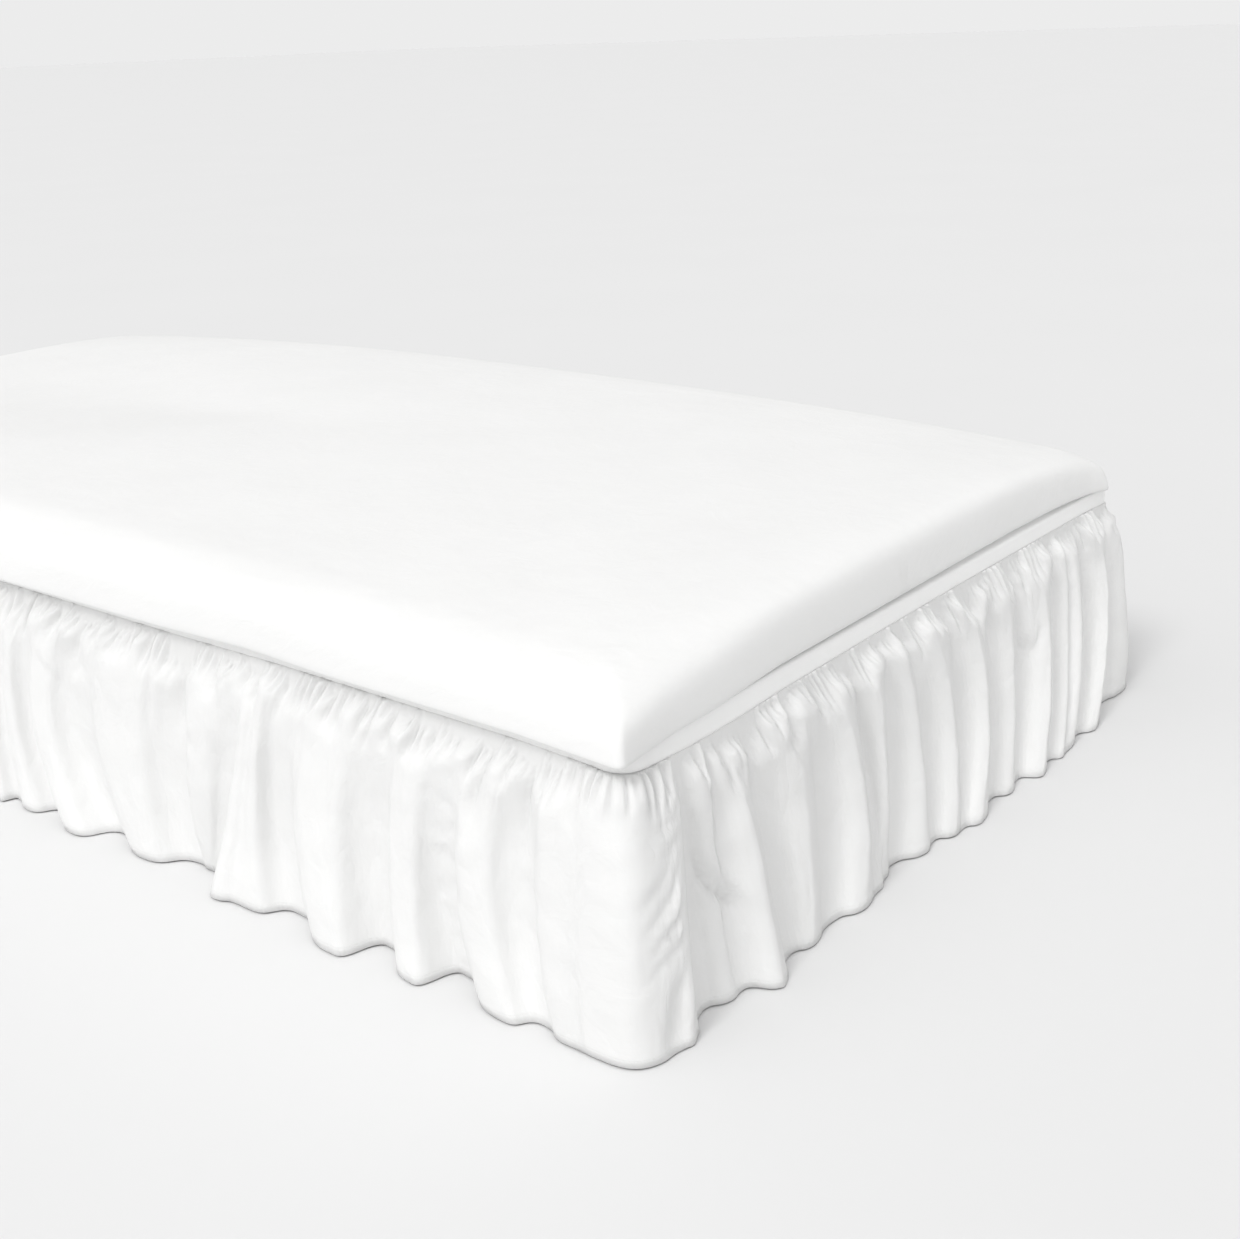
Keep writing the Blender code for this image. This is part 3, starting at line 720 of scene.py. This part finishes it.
GATHER_PITCH = (0.0062, 0.0128)     # each is drawn between two bounds
GATHER_LENGTH = (0.014, 0.056)
GATHER_DEPTH = (0.5, 1.0)           # of the gather depth in the settings
GATHER_WIDTH = (0.0017, 0.0031)
CORNER_FAN = 0.05           # round the left foot corner the cloth fans out, and its gathers are finer
CORNER_PINCH = 0.25         # down to this share
PINCH_REACH = 5             # in widths
PINCH_SPREAD = 1.6          # how much a pinch widens on its way down
PINCH_START = 0.004         # the band presses them flat above this
PINCH_STRENGTH = 2.0        # of every gather and pinch
CREASE_STRENGTH = 1.8       # of every crease
CREASE_ENDS = 0.55          # share of its depth at its ends


def small_gathers(first, last, depth):
    """The ruffle's many small gathers, unevenly spaced and of uneven length."""
    rng = random.Random(41)
    gathers = []
    station = first
    while station < last:
        station += rng.uniform(*GATHER_PITCH)
        gathers.append(Pinch(station, rng.uniform(*GATHER_LENGTH),
                             depth * rng.uniform(*GATHER_DEPTH), rng.uniform(*GATHER_WIDTH)))
    return gathers


def pinch_depth(pinches, seam_at, below):
    """How far the pinches draw the cloth in, by seam station and distance below the seam."""
    depth = np.zeros_like(seam_at)
    columns = np.unique(seam_at)
    for pinch in pinches:
        middle = columns[np.abs(columns - pinch.station).argmin()]      # sharp, on a column
        near = np.abs(seam_at - middle) < PINCH_REACH * pinch.width
        share = np.clip(below[near] / pinch.length, 0.0, 1.0)
        fan = min(1.0, max(CORNER_PINCH, abs(middle) / CORNER_FAN))
        spread = fan * pinch.width * (1 + PINCH_SPREAD * share)
        across = np.exp(-np.abs(seam_at[near] - middle) / spread)
        start = np.clip(below[near] / PINCH_START, 0.0, 1.0)
        depth[near] += fan * pinch.depth * start * (1 - share ** 2) * across
    return depth * PINCH_STRENGTH


def crease_depth(creases, stations, heights):
    """How far the creases draw the cloth in, by station and height."""
    depth = np.zeros_like(stations)
    for crease in creases:
        run = np.array([crease.to_station - crease.station, crease.to_height - crease.height])
        length = math.hypot(*run)
        way = run / length
        dx, dz = stations - crease.station, heights - crease.height
        along = (dx * way[0] + dz * way[1]) / length
        aside = dx * way[1] - dz * way[0]
        beyond = np.maximum(0.0, np.abs(along - 0.5) - 0.5) * length
        taper = np.exp(-(beyond / crease.width) ** 2) * (
            CREASE_ENDS + (1 - CREASE_ENDS) * np.sin(np.pi * np.clip(along, 0.0, 1.0)))
        depth += crease.depth * taper * np.exp(-(aside / crease.width) ** 2)
    return depth * CREASE_STRENGTH


ROW_CROWDING = 1.3          # above 1, the mesh rows crowd together under the seam
TUCK = 0.0007               # how far the ruffle's top edge lies behind the band's face
CRUMPLE_FULL_AT = 0.2       # share of the drop from which the cloth is fully crumpled
CRUMPLES = (Waves(1.0, 22.0, 1.0, 1), Waves(0.5, 55.0, 1.0, 2))
BASE_GAP = 0.0003           # between the cloth and the base
RUFFLE_FULLNESS = 1.5       # cloth for each length of seam
HEM_EDGE = 0.007            # upper edge of the turned hem
HEM_STITCH = 0.0065         # and its stitches


class BEDSKIRT_OT_ruffle(bpy.types.Operator):
    """Hang the gathered ruffle from the band round three sides"""
    bl_idname = "bedskirt.ruffle"
    bl_label = "Ruffle"

    def execute(self, context):
        sizes = context.scene.bed_skirt.ruffle
        lines = column_lines(fold_lines(), sizes.seen_step, sizes.hidden_step)
        data, column, row = grid_mesh("gathered_ruffle", len(lines.seam_at) - 1, sizes.rows)
        seam_at, bow_at, hem_at, full_out, mid_out, hem_out = (part[column] for part in lines)
        drop = (1 - row / sizes.rows) ** ROW_CROWDING

        station = through(drop, seam_at, BOW_AT, bow_at, hem_at)
        top = seam_heights(seam_at)
        height = top + (sizes.hem_height - top) * drop
        below = top - height
        tuck = context.scene.bed_skirt.band.stand_off - TUCK
        out = stand_off(drop, tuck, full_out, mid_out, hem_out)
        pinches = PINCHES + tuple(small_gathers(seam_at.min(), seam_at.max(), sizes.gather_depth))
        out = out - pinch_depth(pinches, seam_at, below) - crease_depth(CREASES, station, height)
        rough = unevenness(CRUMPLES, station, height)
        out = out + sizes.crumple * rough * ease(drop / CRUMPLE_FULL_AT)
        least = sizes.thickness + BASE_GAP
        out = np.maximum(out, np.where(drop > 0, least, tuck))

        plan = plan_places(station, out)
        place_vertices(data, np.column_stack([plan, height]))
        lay_out_cloth(data, np.column_stack([seam_at * RUFFLE_FULLNESS, height]))
        colours = context.scene.bed_skirt.colours
        finish = cotton_finish("ruffle", tuple(colours.cotton), hem_at=sizes.hem_height + HEM_EDGE,
                               stitch_at=sizes.hem_height + HEM_STITCH)
        piece = add_piece("gathered_ruffle", data, finish)
        thicken(piece, sizes.thickness)
        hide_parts("ruffle")
        return {"FINISHED"}


# The band's shoulder, where it turns in over the base's soft edge: out from its face, and up from
# the base's top.
Shoulder = namedtuple("Shoulder", "out rise")
SHOULDER = in_metres(Shoulder, (
    (0, -8.5), (-0.4, -6.8), (-1.5, -5.6), (-3.5, -4.6),
    (-8.3, -2.6), (-14.3, -0.2), (-22.3, 1.7),
))


BAND_COLUMNS = 900          # right round the base
BAND_ROWS = (8, len(SHOULDER) - 1, 2)       # up its face, over its shoulder and turned in
CORNER_COLUMNS = 13         # where it turns a corner
BAND_RIPPLES = (Waves(0.0006, 14.0, 1.0, 5),)
RIPPLE_IN = 0.0004          # they go no further in than this
BAND_PAINTED_LIGHT = 1.18           # painted light: the band's cotton, the same as the ruffle's, is coloured this much lighter
BAND_STITCH = 0.0022        # height of its stitches over the seam


class BEDSKIRT_OT_band(bpy.types.Operator):
    """Wrap the flat band round the base and turn it in over the top"""
    bl_idname = "bedskirt.band"
    bl_label = "Band"

    def execute(self, context):
        sizes = context.scene.bed_skirt.band
        rise, turn, reach = BAND_ROWS
        data, column, row = grid_mesh("joined_band", BAND_COLUMNS, rise + turn + reach)
        # it is joined halfway along the head, and its columns crowd together where it turns
        joint = BED_WIDTH * 1.5 + BED_LENGTH
        even = np.linspace(joint - AROUND, joint, BAND_COLUMNS + 1)
        marks = np.concatenate([c + np.linspace(-CORNER_RADIUS, CORNER_RADIUS, CORNER_COLUMNS)
                                for c in CORNER_STATIONS])
        marks = np.where(marks > joint, marks - AROUND, marks)
        nearest = np.abs(even[:, None] - marks).argmin(axis=0)
        even[nearest] = marks
        even = np.sort(even)
        station = even[column]
        foot = seam_heights(station)
        shoulder = np.clip(row - rise, 0, turn)
        share = np.clip(row / rise, 0.0, 1.0)
        turned = row > rise
        steps = range(turn + 1)
        height = np.where(turned, BASE_TOP + np.interp(shoulder, steps, [p.rise for p in SHOULDER]),
                          foot + (BASE_TOP + SHOULDER[0].rise - foot) * share)
        out = sizes.stand_off + np.interp(shoulder, steps, [p.out for p in SHOULDER])
        inward = np.clip((row - rise - turn) / reach, 0.0, 1.0)
        out = out - inward * sizes.turn_in
        ripple = unevenness(BAND_RIPPLES, station, height) * np.sin(np.pi * share)
        out = out + np.maximum(ripple, -RIPPLE_IN)
        plan = plan_places(station, out)
        place_vertices(data, np.column_stack([plan, height]))
        lay_out_cloth(data, np.column_stack([station, height - foot + np.where(turned, out, 0.0)]))
        joined = bmesh.new()
        joined.from_mesh(data)
        bmesh.ops.remove_doubles(joined, verts=joined.verts, dist=0.00002)
        joined.to_mesh(data)
        joined.free()
        colours = context.scene.bed_skirt.colours
        # painted light: the band's finish is the skirt's cotton coloured lighter
        finish = cotton_finish("band", shade_of(colours.cotton, BAND_PAINTED_LIGHT)[:3], stitch_at=BAND_STITCH)
        piece = add_piece("joined_band", data, finish)
        thicken(piece, sizes.thickness)
        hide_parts("band")
        return {"FINISHED"}


# ---- mattress ----
# Halfway along each side, and at the corners of each end, measured on the mattress.
SIDE_THICKNESS = {"foot": 0.066, "right": 0.066, "head": 0.039, "left": 0.060}
CORNER_THICKNESS = {"foot": 0.037, "head": 0.025}
MATTRESS_LIFT = 0.0012      # it lies on the band's turn-in, not on the base itself
# The side's section from the top down: inset from the widest outline, and share of the thickness
# there.
# It rolls over softly at the top and is widest at its lip, just above the bottom.
SIDE_SECTION = (
    (0.036, 0.985), (0.030, 0.975), (0.025, 0.962), (0.020, 0.942), (0.0158, 0.915),
    (0.0122, 0.880), (0.0092, 0.832), (0.0068, 0.772), (0.0050, 0.700), (0.0036, 0.610),
    (0.0025, 0.510), (0.0016, 0.405), (0.0009, 0.300), (0.0003, 0.200), (0.0000, 0.120),
    (0.0005, 0.074), (0.0018, 0.044), (0.0045, 0.030), (0.0110, 0.019), (0.0190, 0.008),
    (0.0290, 0.0), (0.060, 0.0),
)
# How far the lip stands out over the base and how far it sags, along the foot and up the left side.
EdgePoint = namedtuple("EdgePoint", "station out sag")
FOOT_LIP = in_metres(EdgePoint, (
    (-21, 15.5, 12.5), (30, 10.5, 12.2), (60, 8.2, 11.5),
    (120, 6.8, 11.8), (180, 5.6, 8.5), (230, 5, 5.6),
    (320, 4.7, 5), (440, 4.4, 4), (600, 4, 2.2),
    (720, 3.6, 1.4), (820, 4, 2), (880, 4.8, 3.6),
    (930, 6.6, 5.8), (970, 12, 10),
))
LEFT_LIP = in_metres(EdgePoint, (
    (-1000, 27, 12), (-600, 24.5, 9.4), (-460, 22.5, 5.2),
    (-340, 22.5, 8.4), (-190, 22.5, 7.8), (-100, 22.5, 7.6),
    (-46, 21.5, 10.4), (16, 21, 12.5),
))
MATTRESS_SHIFT = (-0.0245, -0.0195)    # of its middle from the base's middle
LIP_REACH = 12              # the higher, the nearer to the side the lip's shape stays
# Over these distances beyond the base's outline, from and to, the sag sets in.
UNDER_SAG = (-0.0010, 0.0035)
OVER_SAG = (-0.060, 0.015)
TOP_FOLLOWS = (0.10, 0.55)  # shares of the thickness between which the one turns into the other
LIFT_TO = 0.35              # share of the thickness up to which it is lifted over the band
REST_GAP = 0.0003
MATTRESS_COLUMNS, MATTRESS_ROWS = 84, 156
EDGE_CROWDING = 0.6         # how closely they lie near its sides
TOP_ROLL = 0.04             # width of the strip along its sides where the top rolls over
SHEET_WAVES = (Waves(0.0012, 7.0, 1.0, 9), Waves(0.0005, 30.0, 1.7, 10))
FAR_SIDE_SHARE = 0.01       # what a side adds to the thickness far from it
CORNER_REACH = 3            # the higher, the nearer to the corners their own thickness stays
SHEET_TURN = 0.05           # below this height over the base, the sheet counts as its side


def side_blend(u, v):
    """Thickness at a place on the mattress; u and v run from -1 to 1 across it and along it."""
    near = {"right": np.maximum(0, u), "left": np.maximum(0, -u),
            "head": np.maximum(0, v), "foot": np.maximum(0, -v)}
    weight = {name: part ** 2 + FAR_SIDE_SHARE for name, part in near.items()}
    side = sum(SIDE_THICKNESS[name] * weight[name] for name in near) / sum(weight.values())
    corner = np.where(v > 0, CORNER_THICKNESS["head"], CORNER_THICKNESS["foot"])
    square = (np.minimum(1, np.abs(u)) * np.minimum(1, np.abs(v))) ** CORNER_REACH
    return side + (corner - side) * square


def overhang(x, y):
    """How far each place lies outside the base's rounded outline."""
    off_x = np.abs(x - BASE_MIDDLE.x) - (BED_WIDTH / 2 - CORNER_RADIUS)
    off_y = np.abs(y - BASE_MIDDLE.y) - (BED_LENGTH / 2 - CORNER_RADIUS)
    outside = np.hypot(np.maximum(off_x, 0), np.maximum(off_y, 0))
    return np.where(outside > 0, outside, np.maximum(off_x, off_y)) - CORNER_RADIUS


def lip_line(lip, stations):
    """How far a lip stands out and how far it sags at these stations."""
    known = [point.station for point in lip]
    return (np.interp(stations, known, [point.out for point in lip]),
            np.interp(stations, known, [point.sag for point in lip]))


def mattress_places(sizes, x, y, share):
    """Places on the mattress from its own plan and a share of its thickness."""
    u, v = x / (sizes.width / 2), y / (sizes.length / 2)
    crown = sizes.crown * np.maximum(0, 1 - u * u) * np.maximum(0, 1 - v * v)
    place_x = BASE_MIDDLE.x + MATTRESS_SHIFT[0] + x
    place_y = BASE_MIDDLE.y + MATTRESS_SHIFT[1] + y
    foot_out, foot_sag = lip_line(FOOT_LIP, place_x - BASE_LOW.x)
    left_out, left_sag = lip_line(LEFT_LIP, BASE_LOW.y - place_y)
    at_left, at_foot = ((1 - u) / 2) ** LIP_REACH, ((1 - v) / 2) ** LIP_REACH
    plain_left = (sizes.width - BED_WIDTH) / 2 - MATTRESS_SHIFT[0]
    plain_foot = (sizes.length - BED_LENGTH) / 2 - MATTRESS_SHIFT[1]
    place_x = place_x - (left_out - plain_left) * at_left
    place_y = place_y - (foot_out - plain_foot) * at_foot
    # what overhangs the base sags: sharply underneath, and softly over the top
    outside = overhang(place_x, place_y)
    under, over = (ease((outside - start) / (end - start)) for start, end in (UNDER_SAG, OVER_SAG))
    droop = sizes.droop * np.maximum(foot_sag * at_foot, left_sag * at_left)
    follows = ease((share - TOP_FOLLOWS[0]) / (TOP_FOLLOWS[1] - TOP_FOLLOWS[0]))
    sag = droop * (under + (over - under) * follows)
    height = BASE_TOP + REST_GAP + (side_blend(u, v) + crown) * share - sag
    lift = MATTRESS_LIFT * ease((LIFT_TO - share) / LIFT_TO)
    return np.column_stack([place_x, place_y, height + lift])


def round_corners(x, y, half_x, half_y, radius):
    """Bend a rectangle's grid so that its corners are round."""
    inner_x = np.clip(x, radius - half_x, half_x - radius)
    inner_y = np.clip(y, radius - half_y, half_y - radius)
    a, b = (x - inner_x) / radius, (y - inner_y) / radius
    return (inner_x + radius * a * np.sqrt(1 - b * b / 2),
            inner_y + radius * b * np.sqrt(1 - a * a / 2))


def crowd(share, ends):
    """Shares from 0 to 1 that crowd together at both ends."""
    return share - ends * np.sin(2 * np.pi * share) / (2 * np.pi)


class BEDSKIRT_OT_mattress(bpy.types.Operator):
    """Lay the thin mattress in its sheet on the base"""
    bl_idname = "bedskirt.mattress"
    bl_label = "Mattress"

    def execute(self, context):
        sizes = context.scene.bed_skirt.mattress
        data, column, row = grid_mesh("sheeted_mattress", MATTRESS_COLUMNS, MATTRESS_ROWS)
        inset = SIDE_SECTION[0][0]
        half_x, half_y = sizes.width / 2 - inset, sizes.length / 2 - inset
        x = (2 * crowd(column / MATTRESS_COLUMNS, EDGE_CROWDING) - 1) * half_x
        y = (2 * crowd(row / MATTRESS_ROWS, EDGE_CROWDING) - 1) * half_y
        x, y = round_corners(x, y, half_x, half_y, sizes.top_corner)
        edge = np.minimum(half_x - np.abs(x), half_y - np.abs(y))
        share = 1 - (1 - SIDE_SECTION[0][1]) * np.clip(1 - edge / TOP_ROLL, 0, 1) ** 2
        places = mattress_places(sizes, x, y, share)
        places[:, 2] += unevenness(SHEET_WAVES, x, y)
        place_vertices(data, places)

        mesh = bmesh.new()
        mesh.from_mesh(data)
        flat = mesh.verts.layers.float_vector.new("flat")
        mesh.verts.ensure_lookup_table()
        for vert in mesh.verts:
            vert[flat] = (x[vert.index], y[vert.index], 0.0)
        rim = [edge for edge in mesh.edges if edge.is_boundary]
        inner_half = np.array([half_x, half_y]) - sizes.top_corner
        for inset_now, share_now in SIDE_SECTION[1:]:
            made = bmesh.ops.extrude_edge_only(mesh, edges=rim)["geom"]
            ring = [item for item in made if isinstance(item, bmesh.types.BMVert)]
            rim = [item for item in made if isinstance(item, bmesh.types.BMEdge)
                   and item.is_boundary]
            here = np.array([vert[flat][:2] for vert in ring])
            inner = np.clip(here, -inner_half, inner_half)
            away = here - inner
            away = away / np.maximum(np.linalg.norm(away, axis=1, keepdims=True), 1e-9)
            # the corners tighten from the soft top to the crisp lip
            radius = sizes.corner + (sizes.top_corner - sizes.corner) * min(1.0, inset_now / inset)
            half_now = np.array([sizes.width, sizes.length]) / 2 - inset_now - radius
            plan = inner * (half_now / inner_half) + away * radius
            where = mattress_places(sizes, plan[:, 0], plan[:, 1], np.full(len(ring), share_now))
            for vert, place in zip(ring, where):
                vert.co = place
        bmesh.ops.holes_fill(mesh, edges=rim, sides=0)
        bmesh.ops.recalc_face_normals(mesh, faces=mesh.faces)
        mesh.to_mesh(data)
        mesh.free()
        self.lay_out(data)
        colours = context.scene.bed_skirt.colours
        finish = cotton_finish("sheet", tuple(colours.sheet))
        piece = add_piece("sheeted_mattress", data, finish)
        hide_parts("mattress")
        return {"FINISHED"}

    def lay_out(self, data):
        """The sheet laid out flat: its plan, with the sides opened outwards."""
        places = vertex_places(data)
        middle = np.array([BASE_MIDDLE.x, BASE_MIDDLE.y]) + MATTRESS_SHIFT
        away = places[:, :2] - middle
        depth = np.maximum(0, BASE_TOP + SHEET_TURN - places[:, 2])
        away = away + np.sign(away) * depth[:, None]
        lay_out_cloth(data, away)


# ---- base and legs ----
class BEDSKIRT_OT_base(bpy.types.Operator):
    """Build the upholstered base and finish the legs"""
    bl_idname = "bedskirt.base"
    bl_label = "Base and Legs"

    def execute(self, context):
        colours = context.scene.bed_skirt.colours
        mesh = bmesh.new()
        bmesh.ops.create_cube(mesh, size=1.0)
        size = BASE_HIGH - BASE_LOW
        bmesh.ops.scale(mesh, vec=size, verts=mesh.verts)
        bmesh.ops.translate(mesh, vec=BASE_MIDDLE, verts=mesh.verts)
        upright = [edge for edge in mesh.edges
                   if abs(edge.verts[0].co.z - edge.verts[1].co.z) > size.z / 2]
        bmesh.ops.bevel(mesh, geom=upright, offset=CORNER_RADIUS, offset_type="OFFSET", segments=8,
                        profile=0.5, affect="EDGES", material=-1)
        level = [edge for edge in mesh.edges
                 if abs(edge.verts[0].co.z - edge.verts[1].co.z) < 1e-6 and len(edge.link_faces) == 2
                 and abs(edge.link_faces[0].normal.dot(edge.link_faces[1].normal)) < 0.5]
        bmesh.ops.bevel(mesh, geom=level, offset=BASE_EDGE, offset_type="OFFSET", segments=3,
                        profile=0.5, affect="EDGES", material=-1)
        piece = add_piece("upholstered_base", mesh_data(mesh, "upholstered_base"),
                          cover_finish(tuple(colours.cover)))
        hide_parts("base")
        wood = wood_finish(tuple(colours.wood))
        for name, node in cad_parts.items():
            if name.startswith("leg_"):
                for slot in node.material_slots:
                    slot.material = wood
        return {"FINISHED"}


# ---- studio ----
# The camera stands where the photo's edges of the bed say it stood.
CAMERA_AT = (-1.45661, -1.75512, 0.84956)
CAMERA_TURN = (70.0805, 2.0022, -51.4707)       # degrees
CAMERA_LENS = 47.433
FLOOR_SIZE = 160.0


def aim(item, target):
    item.rotation_euler = (Vector(target) - item.location).to_track_quat("-Z", "Y").to_euler()


KEY_FROM = (-3.30, -0.30, 3.45)
KEY_SPREAD = 16.0           # degrees across: a large, soft light
HORIZON_RISE = 0.06         # the sky matches the floor below this height, and fades above it
ZENITH_GAIN = 0.96          # and brighter again overhead
SIDE_FALL = 0.78            # it is brighter than its mean to the left, and darker to the right
FRONT_GAIN = 0.27           # and a little brighter in front of the foot


def soft_sky(strength, horizon):
    """Soft surroundings, brightest on the left and at the horizon, where they meet the floor."""
    world = bpy.data.worlds.new("soft_sky")
    world.use_nodes = True
    tree = world.node_tree
    back = tree.nodes["Background"]
    way = tree.nodes.new("ShaderNodeTexCoord")
    parts = tree.nodes.new("ShaderNodeSeparateXYZ")
    tree.links.new(way.outputs["Generated"], parts.inputs[0])
    height = Wire(tree, parts.outputs[2])
    low = (2 - height / HORIZON_RISE).at_least(0.0).at_most(1.0)
    high = height.at_least(0.0)
    sideways = (1 - Wire(tree, parts.outputs[0]) * SIDE_FALL
                - Wire(tree, parts.outputs[1]) * FRONT_GAIN)
    plug(tree, back.inputs["Strength"],
         low * horizon + (1 - low) * (high * high * ZENITH_GAIN + strength) * sideways)
    back.inputs["Color"].default_value = (1.0, 1.0, 1.0, 1.0)
    return world


class BEDSKIRT_OT_studio(bpy.types.Operator):
    """Add the floor, the lights and the camera"""
    bl_idname = "bedskirt.studio"
    bl_label = "Studio"

    def execute(self, context):
        settings = context.scene.bed_skirt.studio
        mesh = bmesh.new()
        bmesh.ops.create_grid(mesh, x_segments=4, y_segments=4, size=FLOOR_SIZE / 2)
        data = mesh_data(mesh, "studio_floor")
        floor = bpy.data.objects.new("studio_floor", data)
        data.materials.append(floor_finish(tuple(context.scene.bed_skirt.colours.floor)))
        context.scene.collection.objects.link(floor)

        context.scene.view_settings.view_transform = "Standard"
        context.scene.world = soft_sky(settings.sky, settings.horizon)
        lamp = bpy.data.lights.new("key_light", "SUN")
        lamp.energy = settings.key_power
        lamp.angle = math.radians(KEY_SPREAD)
        key = bpy.data.objects.new("key_light", lamp)
        key.location = KEY_FROM
        aim(key, (0.0, 0.0, 0.0))
        context.scene.collection.objects.link(key)

        eye = bpy.data.cameras.new("photo_camera")
        eye.lens = CAMERA_LENS
        eye.sensor_fit = "HORIZONTAL"
        eye.sensor_width = 36.0
        camera = bpy.data.objects.new("photo_camera", eye)
        camera.location = CAMERA_AT
        camera.rotation_euler = [math.radians(angle) for angle in CAMERA_TURN]
        context.scene.collection.objects.link(camera)
        context.scene.camera = camera
        return {"FINISHED"}


class BEDSKIRT_PT_panel(bpy.types.Panel):
    bl_idname = "BEDSKIRT_PT_panel"
    bl_label = "Bed Skirt"
    bl_space_type = "VIEW_3D"
    bl_region_type = "UI"
    bl_category = "Bed Skirt"

    def draw(self, context):
        for operator in OPERATORS:
            self.layout.operator(operator.bl_idname)
        settings = context.scene.bed_skirt
        for group in (settings.ruffle, settings.band, settings.mattress, settings.colours,
                      settings.studio):
            box = self.layout.box()
            for name in group.__annotations__:
                box.prop(group, name)


SETTINGS = (RuffleSettings, BandSettings, MattressSettings, ColourSettings, StudioSettings,
            BedSkirtSettings)
OPERATORS = (BEDSKIRT_OT_studio, BEDSKIRT_OT_base, BEDSKIRT_OT_band, BEDSKIRT_OT_ruffle,
             BEDSKIRT_OT_mattress)


def register():
    for item in SETTINGS + OPERATORS + (BEDSKIRT_PT_panel,):
        bpy.utils.register_class(item)
    bpy.types.Scene.bed_skirt = PointerProperty(type=BedSkirtSettings)


def unregister():
    del bpy.types.Scene.bed_skirt
    for item in reversed(SETTINGS + OPERATORS + (BEDSKIRT_PT_panel,)):
        bpy.utils.unregister_class(item)


def main():
    register()
    bpy.ops.bedskirt.studio()
    bpy.ops.bedskirt.base()
    bpy.ops.bedskirt.band()
    bpy.ops.bedskirt.ruffle()
    bpy.ops.bedskirt.mattress()


if __name__ == "__main__":
    main()
